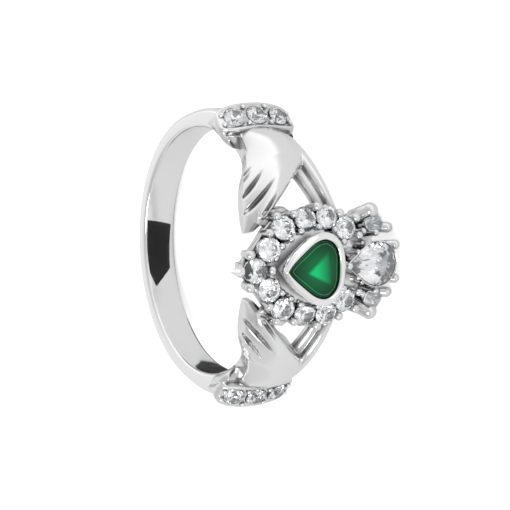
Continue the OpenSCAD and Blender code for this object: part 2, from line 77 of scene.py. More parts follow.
# The hand from wrist to fingertips: angle, left edge, right edge, heights of left edge, back and right edge.
HAND = [
    (64, -1.15, 1.65, 0.50, 0.62, 0.50),
    (57, -1.25, 1.85, 0.52, 0.80, 0.55),
    (50, -1.35, 2.05, 0.46, 0.98, 0.68),
    (43, -1.75, 2.15, 0.44, 1.05, 0.80),
    (38, -2.20, 1.75, 0.43, 1.05, 0.88),
    (33, -2.55, 0.80, 0.42, 1.00, 0.92),
    (28, -2.80, -0.05, 0.41, 0.93, 0.86),
    (23, -2.93, -0.90, 0.39, 0.84, 0.74),
    (18, -2.97, -1.70, 0.36, 0.72, 0.56),
    (14, -2.90, -2.30, 0.18, 0.34, 0.28),
]
# Thumb and the bar under it: angle, place along the finger, height share, thickness share.
THUMB = [
    (56, 1.15, 0.55, 0.90), (50, 1.50, 0.68, 1.00), (43, 1.80, 0.78, 0.92), (38, 2.05, 0.82, 0.84),
    (33, 2.30, 0.84, 0.78), (28, 2.60, 0.84, 0.70), (23, 2.95, 0.80, 0.60), (18, 3.30, 0.76, 0.52),
    (15.5, 3.50, 0.72, 0.46),
]
BRACE = [
    (42, 1.25, 0.55, 0.95), (36, 1.62, 0.57, 0.90), (30, 2.02, 0.58, 0.86), (24, 2.46, 0.56, 0.84),
    (17, 2.90, 0.50, 0.80),
]
# Grooves between the fingers: angle and place along the finger at the palm and at the tip, depth share.
GROOVES = [
    ((39.5, -1.75), (36.5, -2.50), 0.6), ((37.2, -1.95), (33.0, -2.75), 0.6),
    ((35.5, -1.45), (27.3, -2.90), 1.0), ((31.0, -1.05), (21.2, -2.95), 1.0),
    ((26.0, -1.05), (19.0, -2.15), 0.7),
]
GROOVE_W, GROOVE_DEPTH, FINGER_SWELL = 0.13, 0.50, 0.24

# Halo claws: along and across as shares of the heart, rise of the tip, outward slant, thickness share.
CLAWS = [
    (-0.555, 0, 3.0, -0.1, 1.15),
    (-0.930, 0.265, 2.80, -0.45, 1.35),
    (-0.360, 0.375, 2.85, -0.05, 0.95),
    (-0.560, 0.600, 2.70, -0.45, 1.10),
    (-0.390, 0.860, 2.45, -0.35, 1.10),
    (0.010, 0.600, 2.75, -0.05, 0.95),
    (-0.090, 0.880, 2.62, -0.45, 1.15),
    (0.350, 0.655, 2.70, -0.05, 0.95),
    (0.345, 0.985, 2.62, -0.45, 1.25),
    (0.660, 0.600, 2.70, -0.05, 0.90),
    (0.770, 0.860, 2.66, -0.40, 1.15),
    (1.110, 0.760, 2.50, -0.40, 1.20),
    (1.130, 0.470, 2.75, -0.20, 1.10),
    (0.830, 0.385, 2.75, 0.00, 0.95),
    (-0.470, 0.185, 2.80, 0.00, 0.80),
    (-0.190, 0.480, 2.80, 0.00, 0.80),
]
# Crown claws: foot, tip and thickness as a share of a crown claw's.
CROWN_CLAWS = [
    ((5.2, 2.85, BORE_R + 0.7), (6.0, 3.42, BORE_R + 1.72), 1.5),
    ((6.35, 2.2, BORE_R + 0.85), FOOT_AT, 1.0),
    ((6.3, 1.0, BORE_R + 1.6), (7.35, 1.14, BORE_R + 2.75), 0.92),
    ((5.9, 1.75, BORE_R + 0.9), (6.15, 1.95, BORE_R + 2.25), 0.62),
    ((5.0, 1.9, BORE_R + 0.9), (5.15, 2.1, BORE_R + 2.2), 0.62),
    ((4.1, 0.75, BORE_R + 1.0), (4.2, 0.85, BORE_R + 3.1), 0.5),
    ((4.9, 1.2, BORE_R + 0.6), (5.0, 1.3, BORE_R + 2.3), 0.55),
]


# How the ring lies: on two crown claws and the back of the band.
def lying():
    edge_a, edge_n = BAND_W / 2 - BAND_ROUND, -(BORE_R + BAND_T - BAND_ROUND)
    along, out = FOOT_AT[0] - edge_a, FOOT_AT[2] - edge_n
    tilt = math.acos((BAND_ROUND - CROWN_CLAW_D / 2) / math.hypot(along, out)) - math.atan2(out, along)
    up = edge_a * math.cos(tilt) - edge_n * math.sin(tilt) + BAND_ROUND
    front = (BORE_R + DROP_RISE + 0.34) * math.cos(tilt) + (DROP_PT + 0.824 * DROP_LEN) * math.sin(tilt)
    back = edge_a * math.sin(tilt) - edge_n * math.cos(tilt) + BAND_ROUND
    return tilt, (front - back) / 2, up


TILT, LIE_Y, LIE_Z = lying()
LAY = np.array([
    [0, 1, 0],
    [-math.sin(TILT), 0, -math.cos(TILT)],
    [-math.cos(TILT), 0, math.sin(TILT)],
])


def laid(points):
    """Points of the upright ring, in millimetres, as they lie in the row's frame, in metres."""
    return (np.asarray(points, float) @ LAY.T + (0, LIE_Y, LIE_Z)) * MM


def around(a, angle, r):
    """Points on the ring from place along the finger, degrees from the head's middle, and radius."""
    a, angle, r = np.broadcast_arrays(a, np.radians(angle), r)
    return np.stack([a, r * np.sin(angle), r * np.cos(angle)], -1)


def eased(table, steps):
    """A table's rows at even steps from first to last, on a smooth curve through them."""
    t = np.asarray(table, float)
    q = np.linspace(0, len(t) - 1, steps)
    i = np.clip(q.astype(int), 0, len(t) - 2)
    f = (q - i)[:, None]
    p0, p1, p2, p3 = (t[np.clip(i + k, 0, len(t) - 1)] for k in (-1, 0, 1, 2))
    bend, twist = 2 * p0 - 5 * p1 + 4 * p2 - p3, 3 * p1 - p0 - 3 * p2 + p3
    return 0.5 * (2 * p1 + f * (p2 - p0) + f**2 * bend + f**3 * twist)


def skin(rings):
    """(points, faces) of the closed surface through rings of equal length, each end closed to its middle."""
    rings = np.asarray(rings, float)
    k, m = rings.shape[:2]
    points = np.vstack([rings.reshape(-1, 3), rings[0].mean(0), rings[-1].mean(0)])
    faces = [(i * m + j, i * m + (j + 1) % m, (i + 1) * m + (j + 1) % m, (i + 1) * m + j)
             for i in range(k - 1) for j in range(m)]
    faces += [((j + 1) % m, j, k * m) for j in range(m)]
    faces += [((k - 1) * m + j, (k - 1) * m + (j + 1) % m, k * m + 1) for j in range(m)]
    return points, faces


def turned(profile, steps):
    """(points, faces) of a profile of (radius, height) spun about the upright axis."""
    angle = np.linspace(0, 2 * math.pi, steps, endpoint=False)
    return skin([[(r * math.cos(t), r * math.sin(t), h) for t in angle] for r, h in profile])


def lean(points, at, out, along):
    """Points tipped outward and along the finger, then moved to their place."""
    turn = Matrix.Rotation(math.radians(-out), 3, "X") @ Matrix.Rotation(math.radians(along), 3, "Y")
    return np.asarray(points) @ np.array(turn).T + at


def flipped(points):
    return np.asarray(points) * (1, -1, 1)


def both(shells):
    """Shells together with their mirror images in the other half of the ring."""
    return shells + [(flipped(p), f) for p, f in shells]


def mesh_object(name, shells, place=laid):
    """One object from (points, faces) shells, each with its faces turned outward."""
    mesh = bpy.data.meshes.new(name)
    whole = bmesh.new()
    for points, faces in shells:
        part = bmesh.new()
        corners = [part.verts.new(p) for p in place(points)]
        for face in faces:
            if len(set(face)) > 2:
                part.faces.new([corners[i] for i in face])
        bmesh.ops.recalc_face_normals(part, faces=part.faces)
        if part.calc_volume(signed=True) < 0:
            bmesh.ops.reverse_faces(part, faces=part.faces)
        part.to_mesh(mesh)
        whole.from_mesh(mesh)
        part.free()
    whole.to_mesh(mesh)
    whole.free()
    piece = bpy.data.objects.new(name, mesh)
    bpy.context.scene.collection.objects.link(piece)
    return piece


def settle(piece):
    """Leaves the piece as the plain mesh that its modifiers make of it."""
    bpy.context.view_layer.update()
    graph = bpy.context.evaluated_depsgraph_get()
    mesh = bpy.data.meshes.new_from_object(piece.evaluated_get(graph))
    piece.modifiers.clear()
    old, piece.data = piece.data, mesh
    bpy.data.meshes.remove(old)
    mesh.name = piece.name
    return piece


def soften(piece, angle=180):
    """Smooth shading, with edges sharper than the angle kept."""
    for face in piece.data.polygons:
        face.use_smooth = True
    if angle < 180:
        piece.data.set_sharp_from_angle(angle=math.radians(angle))
    return piece


def run_together(piece, cell):
    """Sets a piece to run its shells into one skin of cells of a size."""
    remesh = piece.modifiers.new("cast", "REMESH")
    remesh.mode = "VOXEL"
    remesh.voxel_size = cell


def polish(piece, rounds, group=""):
    smooth = piece.modifiers.new("polish", "SMOOTH")
    smooth.factor = 0.5
    smooth.iterations = rounds
    smooth.vertex_group = group


def read_vertices(piece, what="co"):
    values = np.empty(len(piece.data.vertices) * 3)
    piece.data.vertices.foreach_get(what, values)
    return values.reshape(-1, 3)


def dress(piece, material, slot, *nodes):
    """Gives a finished piece its material, hangs it from the root and hides the parts that it stands for."""
    piece.data.materials.clear()
    piece.data.materials.append(material)
    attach(piece, "root")
    if nodes:
        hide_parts(*nodes)


# Finishes.
def new_material(name):
    material = bpy.data.materials.new(name)
    material.use_nodes = True
    nodes, links = material.node_tree.nodes, material.node_tree.links
    return material, nodes, links, nodes["Principled BSDF"]


def speckle(nodes, links, scale, detail=3.0):
    """Noise on the piece's own coordinates, with scale given for a millimetre."""
    where = nodes.new("ShaderNodeTexCoord")
    noise = nodes.new("ShaderNodeTexNoise")
    noise.inputs["Scale"].default_value = scale / MM
    noise.inputs["Detail"].default_value = detail
    links.new(where.outputs["Object"], noise.inputs["Vector"])
    return noise.outputs["Fac"]


def ranged(nodes, links, value, low, high, start=0.3, end=0.7):
    spread = nodes.new("ShaderNodeMapRange")
    for name, number in (("From Min", start), ("From Max", end), ("To Min", low), ("To Max", high)):
        spread.inputs[name].default_value = number
    links.new(value, spread.inputs["Value"])
    return spread.outputs["Result"]


def polished_silver(name, reach, sheen=(0.05, 0.13), bright=0.93):
    """Bright silver: a soft uneven polish, fine wear in the bump, and painted shade that darkens the colour
    in recesses as deep as reach.
    """
    material, nodes, links, shader = new_material(name)
    shader.inputs["Metallic"].default_value = 1.0
    open_air = nodes.new("ShaderNodeAmbientOcclusion")
    open_air.samples = 8
    open_air.inputs["Distance"].default_value = reach * MM
    # Painted shade: the colour runs down to near black where ambient occlusion finds a recess.
    painted_recess_shade = nodes.new("ShaderNodeMix")
    painted_recess_shade.data_type = "RGBA"
    painted_recess_shade.inputs["A"].default_value = (0.16, 0.16, 0.165, 1)
    painted_recess_shade.inputs["B"].default_value = (bright, bright, bright + 0.005, 1)
    links.new(ranged(nodes, links, open_air.outputs["AO"], 0, 1, 0.12, 0.92), painted_recess_shade.inputs["Factor"])
    links.new(painted_recess_shade.outputs["Result"], shader.inputs["Base Color"])
    links.new(ranged(nodes, links, speckle(nodes, links, 1.6), *sheen), shader.inputs["Roughness"])
    bump = nodes.new("ShaderNodeBump")
    bump.inputs["Strength"].default_value = 0.10
    bump.inputs["Distance"].default_value = 0.02 * MM
    links.new(speckle(nodes, links, 2.2, 4), bump.inputs["Height"])
    links.new(bump.outputs["Normal"], shader.inputs["Normal"])
    return material


def cut_clear(name, glow):
    """Clear stone with painted light: it glows at strength glow, though it is no lamp. One set low gathers
    less light through the metal, so it is given a stronger painted glow.
    """
    material, nodes, links, shader = new_material(name)
    shader.inputs["Base Color"].default_value = (0.97, 0.98, 1.0, 1)
    shader.inputs["Transmission Weight"].default_value = 1.0
    shader.inputs["IOR"].default_value = 2.1
    shader.inputs["Emission Color"].default_value = (0.98, 0.99, 1.0, 1)
    # Painted light: a constant white glow.
    shader.inputs["Emission Strength"].default_value = glow
    links.new(ranged(nodes, links, speckle(nodes, links, 1.2), 0.0, 0.015), shader.inputs["Roughness"])
    return material


def cut_green():
    """Deep green with painted light: lighter in the middle and darker towards the rim as painted shade, with
    a painted bright arrow-shaped highlight where the cut would gather the light.
    """
    material, nodes, links, shader = new_material("cut_green_stone")
    where = nodes.new("ShaderNodeTexCoord")
    tip = np.array([HEART_PT + 1.42, -0.2, BORE_R + HEART_RISE])

    def beyond(direction, start, end, low=0, high=1):
        """Low to high as a point moves from start to end millimetres past the zone's tip, in a direction."""
        way = LAY @ (np.array([*direction, 0]) / np.hypot(*direction))
        dot = nodes.new("ShaderNodeVectorMath")
        dot.operation = "DOT_PRODUCT"
        dot.inputs[1].default_value = way.tolist()
        links.new(where.outputs["Object"], dot.inputs[0])
        here = float(way @ laid(tip))
        return ranged(nodes, links, dot.outputs["Value"], low, high, here + start * MM, here + end * MM)

    def times(one, other):
        product = nodes.new("ShaderNodeMath")
        product.operation = "MULTIPLY"
        links.new(one, product.inputs[0])
        links.new(other, product.inputs[1])
        return product.outputs["Value"]

    def blended(share, low, high):
        mix = nodes.new("ShaderNodeMix")
        mix.data_type = "RGBA"
        for socket, value in (("A", low), ("B", high)):
            if isinstance(value, tuple):
                mix.inputs[socket].default_value = value
            else:
                links.new(value, mix.inputs[socket])
        links.new(share, mix.inputs["Factor"])
        return mix.outputs["Result"]

    # Painted highlight: a bright arrow-shaped glint between three planes past the tip.
    arrow = times(beyond((0.65, -0.76), -0.05, 0.20), beyond((0.43, 0.90), -0.05, 0.14))
    arrow = times(arrow, beyond((0.98, 0.1), 0.7, 1.8, 1, 0))
    # Painted shade: the green darkens from the middle out towards the rim.
    away = nodes.new("ShaderNodeVectorMath")
    away.operation = "DISTANCE"
    away.inputs[1].default_value = laid((HEART_PT + 0.56 * HEART_LEN, 0, BORE_R + HEART_RISE)).tolist()
    links.new(where.outputs["Object"], away.inputs[0])
    body = blended(ranged(nodes, links, away.outputs["Value"], 0, 1, 0.7 * MM, 1.9 * MM),
                   (0.0, 0.17, 0.052, 1), (0.0, 0.03, 0.011, 1))
    lit = blended(arrow, body, (0.0, 0.70, 0.22, 1))
    # From the cut marks: a painted highlight along the line of facets, and painted shade, near black, along
    # the edge.
    cut = nodes.new("ShaderNodeAttribute")
    cut.attribute_name = "cut"
    lined = blended(ranged(nodes, links, cut.outputs["Fac"], 0, 1, 0.45, 0.5), lit, (0.06, 0.42, 0.17, 1))
    edged = blended(ranged(nodes, links, cut.outputs["Fac"], 0, 1, 0.6, 0.9), lined, (0.0, 0.006, 0.003, 1))
    links.new(edged, shader.inputs["Base Color"])
    shader.inputs["Transmission Weight"].default_value = 0.15
    shader.inputs["IOR"].default_value = 1.55
    shader.inputs["Specular IOR Level"].default_value = 0.18
    links.new(ranged(nodes, links, speckle(nodes, links, 1.0), 0.01, 0.03), shader.inputs["Roughness"])
    return material


def pale_floor():
    """White paper, lit to white where it is looked at and quieter in what the metal mirrors."""
    material, nodes, links, shader = new_material("pale_floor")
    tint = nodes.new("ShaderNodeMix")
    tint.data_type = "RGBA"
    tint.inputs["A"].default_value = (0.78, 0.78, 0.78, 1)
    tint.inputs["B"].default_value = (0.82, 0.82, 0.82, 1)
    links.new(ranged(nodes, links, speckle(nodes, links, 0.02), 0, 1), tint.inputs["Factor"])
    links.new(tint.outputs["Result"], shader.inputs["Base Color"])
    shader.inputs["Roughness"].default_value = 0.6
    shader.inputs["Emission Color"].default_value = (1, 1, 1, 1)
    look = nodes.new("ShaderNodeLightPath")
    glow = ranged(nodes, links, look.outputs["Is Camera Ray"], 0.08, 0.6, 0, 1)
    links.new(glow, shader.inputs["Emission Strength"])
    return material


# Dark matte finish of the flags that paint dark reflections into the metal.
def dark_reflection_flag():
    material, nodes, links, shader = new_material("dark_reflection_flag")
    shader.inputs["Base Color"].default_value = (0.05, 0.05, 0.05, 1)
    links.new(ranged(nodes, links, speckle(nodes, links, 0.5), 0.8, 1.0), shader.inputs["Roughness"])
    return material


silver = polished_silver("polished_silver", 1.0)
bright_seat = polished_silver("bright_cut_seat", 0.12, bright=0.8)
satin = polished_silver("satin_silver", 1.6, (0.15, 0.24), 0.86)
setting = polished_silver("setting_silver", 0.45, (0.06, 0.12), 0.80)
# Painted light: both clear finishes glow, the low-set one more strongly.
clear = cut_clear("cut_clear_stone", 0.015)
low_clear = cut_clear("low_set_clear_stone", 0.09)
green, floor_finish, flag_finish = cut_green(), pale_floor(), dark_reflection_flag()


# Outlines.
def outline(half, length, width, steps):
    """A closed outline from half a table, mirrored, its first point the sharp one."""
    side = eased(half, steps + 1) * (length, width / 2)
    side[0, 1] = side[-1, 1] = 0
    return np.vstack([side, side[-2:0:-1] * (1, -1)])


def grown(line, by, middle, share=1):
    """The outline moved outward by a distance times each point's share, or toward its middle if negative."""
    if by < 0:
        way = line - middle
        return line + way / np.linalg.norm(way, axis=1)[:, None] * by
    before, after = np.roll(line, 1, 0), np.roll(line, -1, 0)
    run = (after - before) / np.linalg.norm(after - before, axis=1)[:, None]
    step = (line - before) / np.linalg.norm(line - before, axis=1)[:, None]
    mitre = 1 / np.maximum(0.9, np.abs((step * run).sum(1)))
    return line + np.stack([-run[:, 1], run[:, 0]], 1) * (by * mitre * share)[:, None]


def stack(line, middle, steps, at, share=1):
    """Rings of an outline, each grown and raised, at a place on the ring."""
    return [np.column_stack([grown(line, by, middle, share), np.full(len(line), z)]) + at for by, z in steps]


HEART_MID, DROP_MID = (0.58 * HEART_LEN, 0), (0.6 * DROP_LEN, 0)
HEART_AT, DROP_AT = (HEART_PT, 0, BORE_R + HEART_RISE), (DROP_PT, 0, BORE_R + DROP_RISE)


def frame_shell(rings):
    """(points, faces) of the closed surface through rings, the last joined to the first, round an opening."""
    points, faces = skin(rings)
    k, m = len(rings), len(rings[0])
    last = [((k - 1) * m + j, (k - 1) * m + (j + 1) % m, (j + 1) % m, j) for j in range(m)]
    return points[: k * m], faces[: (k - 1) * m] + last


# Band.
def band():
    half, w = 180 - CUFF_ANGLE + 4, BAND_W / 2
    inner, outer = BORE_R + BORE_ROUND, BORE_R + BAND_T - BAND_ROUND
    corners = [(inner, w - BORE_ROUND, BORE_ROUND, 90), (inner, BORE_ROUND - w, BORE_ROUND, 180),
               (outer, BAND_ROUND - w, BAND_ROUND, 270), (outer, w - BAND_ROUND, BAND_ROUND, 0)]
    profile = [(r + o * math.cos(math.radians(s + t)), a + o * math.sin(math.radians(s + t)))
               for r, a, o, s in corners for t in np.linspace(0, 90, 10)]
    radii, along = np.array(profile).T
    rings = []
    for t in np.linspace(-half, half, 220):
        near = min(1, max(0, (abs(t) - 76) / 26))
        thicker = SHOULDER * near * near * (3 - 2 * near) * (radii > BORE_R + BAND_T / 2)
        rings.append(around(along, 180 + t, radii + thicker))
    return mesh_object("band", [skin(rings)])


# Cuffs.
def cuff_half(x):
    return CUFF_FACE / 2 * (0.40 + 0.60 * math.sqrt(max(0, 1 - x**4)))


def cuff_point(x, off, out):
    slope = math.radians(CUFF_SLOPE)
    mid = around(CUFF_SHIFT + x * CUFF_LEN / 2, CUFF_ANGLE, BORE_R + CUFF_RISE - 0.5 * x * x)
    across = np.array([0, math.cos(slope), -math.sin(slope)])
    outward = np.array([0, math.sin(slope), math.cos(slope)])
    return mid + off * across + out * outward


def cuff_shell():
    """A boat: a tray with a rolled edge, higher at the hand, and sides that curve in under its ends."""
    edge = [
        (-1.00, -0.62), (-1.05, -0.36), (-1.06, -0.14), (-1.02, 0.02), (-0.95, 0.10), (-0.86, 0.09),
        (-0.80, 0.03), (-0.77, -0.03), (0, -0.03), (0.77, -0.03), (0.80, 0.02), (0.86, 0.06),
        (0.94, 0.05), (1.01, -0.03), (1.04, -0.16), (1.03, -0.4), (0.98, -0.8),
    ]
    rings = []
    for x in np.sin(np.linspace(-math.pi / 2, math.pi / 2, 61)):
        h, a = cuff_half(x), CUFF_SHIFT + 0.86 * x * CUFF_LEN / 2
        rise = max(0, CUFF_HULL * abs(x) ** 3 - 0.4)
        low = [around(a, CUFF_ANGLE - 5 - 4 * h, BORE_R + 0.4 + rise),
               around(a, CUFF_ANGLE + 6 + 5 * h, BORE_R + 0.01 + rise)]
        top = [cuff_point(x, o * h, z) for o, z in edge]
        middle = top[len(edge) // 2]
        walls = []
        for k in (0, 1):
            foot, brim = low[k], top[-k]
            belly = 0.5 * (foot + brim) + 0.8 * (brim - middle) / np.linalg.norm(brim - middle)
            belly[0] = 0.1 * foot[0] + 0.9 * brim[0]
            walls.append([(1 - s)**2 * foot + 2 * s * (1 - s) * belly + s * s * brim
                          for s in np.linspace(0.1, 0.9, 9)])
        rings.append([low[0], *walls[0], *top, *walls[1][::-1], low[1]])
    for end, side in ((0, -1), (-1, 1)):
        ring = np.array(rings[end])
        cap = ring.mean(0) + 0.6 * (ring - ring.mean(0)) + (side * 0.1, 0, 0)
        rings.insert(0 if end == 0 else len(rings), cap)
    return skin(rings)


def at_cuff(k, points):
    middle = cuff_point((k - 1) * CUFF_STONE_STEP, 0, 0)
    return lean(points, middle, CUFF_SLOPE, CUFF_STONE_LEAN * (k - 1))


def hull_share(points):
    """How far a cuff's points belong to its underside: 0 at the stone-set face, 1 below the rolled edge."""
    slope = math.radians(CUFF_SLOPE)
    outward = np.array([0, math.sin(slope), math.cos(slope)])
    a, t, n = points.T
    depth = (cuff_point(0, 0, 0) - np.stack([a, np.abs(t), n], -1)) @ outward
    x = np.abs(a - CUFF_SHIFT) / (CUFF_LEN / 2)
    below = np.clip((depth - 0.5 * x * x - 0.30) / 0.30, 0, 1)
    return np.maximum(below, np.clip((x - 0.86) / 0.08, 0, 1))


def cuff_skin():
    """Both cuffs run into one skin, with their undersides polished smooth and their rims kept crisp."""
    piece = mesh_object("cuffs", both([cuff_shell()]), place=np.asarray)
    run_together(piece, CUFF_CELL)
    settle(piece)
    hull = piece.vertex_groups.new(name="hull")
    for i, share in enumerate(hull_share(read_vertices(piece))):
        if share > 0:
            hull.add([i], float(share), "REPLACE")
    polish(piece, 4)
    polish(piece, 150, "hull")
    settle(piece)
    piece.data.vertices.foreach_set("co", laid(read_vertices(piece)).ravel())
    return piece


# Hands.
def digit(table, thick, steps=36, sides=24):
    """A round tapering finger along a table, its ends rounded."""
    rows = eased(table, steps)
    turn = np.linspace(0, 2 * math.pi, sides, endpoint=False)
    rings = []
    for angle, a, high, share in rows:
        d = thick / 2 * share
        rings.append(around(a + d * np.cos(turn), angle, BORE_R + HAND_RISE * high + 0.95 * d * np.sin(turn)))
    rings = np.array(rings)
    way = rings[-1].mean(0) - rings[-2].mean(0)
    way = way / np.linalg.norm(way) * thick / 2 * rows[-1][3]
    last, end = rings[-1], rings[-1].mean(0)
    return skin([*rings, *[end + (last - end) * math.cos(t) + way * math.sin(t) for t in (0.4, 0.8, 1.2)]])


def finger_relief(angle, a):
    """How far the skin of the hand stands out over the palm's table: swollen fingers with grooves between."""
    relief = FINGER_SWELL * np.clip((40 - angle) / 12, 0, 1) * np.clip((angle - 13) / 5, 0, 1)
    mm = math.radians(1) * (BORE_R + HAND_RISE)
    for (high, start), (low, end), share in GROOVES:
        run = np.array([(low - high) * mm, end - start])
        way = np.stack([(angle - high) * mm, a - start], -1)
        t = np.clip(way @ run / (run @ run), 0, 1)
        off = np.linalg.norm(way - t[:, None] * run, axis=1)
        open_up = np.clip(1.8 * t, 0.02, 1) ** 0.8
        width = GROOVE_W * (0.3 + 0.7 * share) * (0.4 + 0.6 * open_up)
        relief = relief - GROOVE_DEPTH * share * open_up * np.exp(-((off / width) ** 2))
    return relief


def palm_shell(steps=120, sides=60):
    rows = eased(HAND, steps)
    share = np.linspace(0, 1, sides + 1)
    u = np.clip(0.5 - 0.275 * np.cos(math.pi * share) - 0.225 * (1 - 2 * share), 0, 1)
    rings = []
    for angle, left, right, left_h, top_h, right_h in rows:
        bow = (top_h - (left_h + right_h) / 2) * np.abs(np.sin(math.pi * u)) ** 0.75
        high = BORE_R + HAND_RISE * (left_h + (right_h - left_h) * u + bow)
        first, last = around(left + 0.12, angle, BORE_R), around(right - 0.12, angle, BORE_R)
        rings.append(np.vstack([first, around(left + (right - left) * u, angle, high), last]))
    return skin(rings)


def hand(name, side):
    """A palm with its thumb and the bar under it run into one smooth skin, then the fingers cut into it."""
    piece = mesh_object(name, [palm_shell(), digit(THUMB, THUMB_D), digit(BRACE, THUMB_D)], place=np.asarray)
    run_together(piece, HAND_CELL)
    polish(piece, 16)
    settle(piece)
    a, t, n = read_vertices(piece).T
    r, angle = np.hypot(t, n), np.degrees(np.arctan2(t, n))
    outward = (read_vertices(piece, "normal") * np.stack([0 * r, t / r, n / r], 1)).sum(1)
    inner_edge = np.interp(angle, [row[0] for row in HAND[::-1]], [row[2] for row in HAND[::-1]])
    share = np.clip(outward * 2, 0, 1) * np.clip((inner_edge - a) / 0.3, 0, 1)
    r = r + finger_relief(angle, a) * share
    points = around(a, angle, r) * (1, side, 1)
    piece.data.vertices.foreach_set("co", laid(points).ravel())
    if side < 0:
        piece.data.flip_normals()
    return soften(piece)


# Claws and grains, set on points by a node tree: each point is a foot, and carries the way to its tip.
def claw_tree():
    tree = bpy.data.node_groups.new("claws_on_feet", "GeometryNodeTree")
    face = tree.interface
    face.new_socket("Feet", in_out="INPUT", socket_type="NodeSocketGeometry")
    for name, value in (("Foot share", 0.42), ("Bead share", 0.51)):
        face.new_socket(name, in_out="INPUT", socket_type="NodeSocketFloat").default_value = value
    face.new_socket("Sides", in_out="INPUT", socket_type="NodeSocketInt").default_value = 16
    face.new_socket("Finish", in_out="INPUT", socket_type="NodeSocketMaterial")
    face.new_socket("Claws", in_out="OUTPUT", socket_type="NodeSocketGeometry")
    nodes, links = tree.nodes, tree.links
    given, result = nodes.new("NodeGroupInput"), nodes.new("NodeGroupOutput")

    def attribute(name, kind):
        node = nodes.new("GeometryNodeInputNamedAttribute")
        node.data_type = kind
        node.inputs["Name"].default_value = name
        return node.outputs["Attribute"]

    reach, thick = attribute("reach", "FLOAT_VECTOR"), attribute("thick", "FLOAT")
    length = nodes.new("ShaderNodeVectorMath")
    length.operation = "LENGTH"
    links.new(reach, length.inputs[0])
    size = nodes.new("ShaderNodeCombineXYZ")
    links.new(thick, size.inputs["X"])
    links.new(thick, size.inputs["Y"])
    links.new(length.outputs["Value"], size.inputs["Z"])
    aim = nodes.new("FunctionNodeAlignRotationToVector")
    aim.axis = "Z"
    links.new(reach, aim.inputs["Vector"])

    shaft = nodes.new("GeometryNodeMeshCone")
    shaft.inputs["Radius Top"].default_value = 0.5
    shaft.inputs["Depth"].default_value = 1.0
    links.new(given.outputs["Sides"], shaft.inputs["Vertices"])
    links.new(given.outputs["Foot share"], shaft.inputs["Radius Bottom"])
    bead = nodes.new("GeometryNodeMeshUVSphere")
    links.new(given.outputs["Sides"], bead.inputs["Segments"])
    bead.inputs["Rings"].default_value = 10
    links.new(given.outputs["Bead share"], bead.inputs["Radius"])

    shafts = nodes.new("GeometryNodeInstanceOnPoints")
    links.new(given.outputs["Feet"], shafts.inputs["Points"])
    links.new(shaft.outputs["Mesh"], shafts.inputs["Instance"])
    links.new(aim.outputs["Rotation"], shafts.inputs["Rotation"])
    links.new(size.outputs["Vector"], shafts.inputs["Scale"])
    tips = nodes.new("GeometryNodeSetPosition")
    links.new(given.outputs["Feet"], tips.inputs["Geometry"])
    links.new(reach, tips.inputs["Offset"])
    beads = nodes.new("GeometryNodeInstanceOnPoints")
    links.new(tips.outputs["Geometry"], beads.inputs["Points"])
    links.new(bead.outputs["Mesh"], beads.inputs["Instance"])
    links.new(aim.outputs["Rotation"], beads.inputs["Rotation"])
    links.new(thick, beads.inputs["Scale"])

    join = nodes.new("GeometryNodeJoinGeometry")
    links.new(shafts.outputs["Instances"], join.inputs["Geometry"])
    links.new(beads.outputs["Instances"], join.inputs["Geometry"])
    real = nodes.new("GeometryNodeRealizeInstances")
    smooth = nodes.new("GeometryNodeSetShadeSmooth")
    finish = nodes.new("GeometryNodeSetMaterial")
    links.new(join.outputs["Geometry"], real.inputs["Geometry"])
    links.new(real.outputs["Geometry"], smooth.inputs["Geometry"])
    links.new(smooth.outputs["Geometry"], finish.inputs["Geometry"])
    links.new(given.outputs["Finish"], finish.inputs["Material"])
    links.new(finish.outputs["Geometry"], result.inputs["Claws"])
    return tree


CLAW_TREE = claw_tree()


def claws(name, feet, tips, thick, **inputs):
    """Claws from their feet to their tips, in millimetres on the upright ring."""
    foot, tip = laid(feet), laid(tips)
    mesh = bpy.data.meshes.new(name)
    mesh.from_pydata(foot.tolist(), [], [])
    mesh.attributes.new("reach", "FLOAT_VECTOR", "POINT").data.foreach_set("vector", (tip - foot).ravel())
    mesh.attributes.new("thick", "FLOAT", "POINT").data.foreach_set("value", np.asarray(thick, float) * MM)
    piece = bpy.data.objects.new(name, mesh)
    bpy.context.scene.collection.objects.link(piece)
    build = piece.modifiers.new("claws", "NODES")
    build.node_group = CLAW_TREE
    ids = {item.name: item.identifier for item in CLAW_TREE.interface.items_tree if item.in_out == "INPUT"}
    build[ids["Finish"]] = setting
    for key, value in inputs.items():
        build[ids[key.replace("_", " ").capitalize()]] = value
    settle(piece)
    return soften(piece, 60)


def mirrored_rows(rows):
    """Claw rows (foot, tip, thickness) with the other half of the ring's, those on the middle line once."""
    rows = [(np.array(f, float), np.array(t, float), d) for f, t, d in rows]
    return rows + [(f * (1, -1, 1), t * (1, -1, 1), d) for f, t, d in rows if abs(t[1]) > 1e-6]


def halo_claw_rows():
    rows = []
    for along, across, rise, slant, share in CLAWS:
        a, t, d = along * HEART_LEN, across * HEART_W, CLAW_D * share
        out = np.array([a - 0.6, t]) / math.hypot(a - 0.6, t)
        z = BORE_R + rise
        foot = (a + slant * out[0] * 0.5, t + slant * out[1] * 0.5, z - 1.35)
        rows.append((foot, (a, t, z - d / 2 + 0.1), d))
    return mirrored_rows(rows)


def halo_at(i):
    along, across, rise, out, lean_along = HALO[i]
    return np.array([along * HEART_LEN, across * HEART_W, BORE_R + rise]), out, lean_along


# Settings.
CUP = [
    (0.02, -HALO_CUP_H), (0.60, -HALO_CUP_H), (0.66, -1.2), (0.78, -0.4), (0.84, -0.12), (0.84, -0.04),
    (0.82, -0.01), (0.79, -0.05), (0.77, -0.1), (0.38, -0.48), (0.02, -0.76),
]


def settings():
    shells = []
    points, faces = turned(CUP, 40)
    for i in range(len(HALO)):
        cup = (lean(points, *halo_at(i)), faces)
        shells += both([cup]) if i else [cup]
    shells += both([(lean(points, SIDE_AT, SIDE_LEAN, SIDE_LEAN_ALONG), faces)])
    return soften(mesh_object("halo_and_crown_cups", shells), 50)


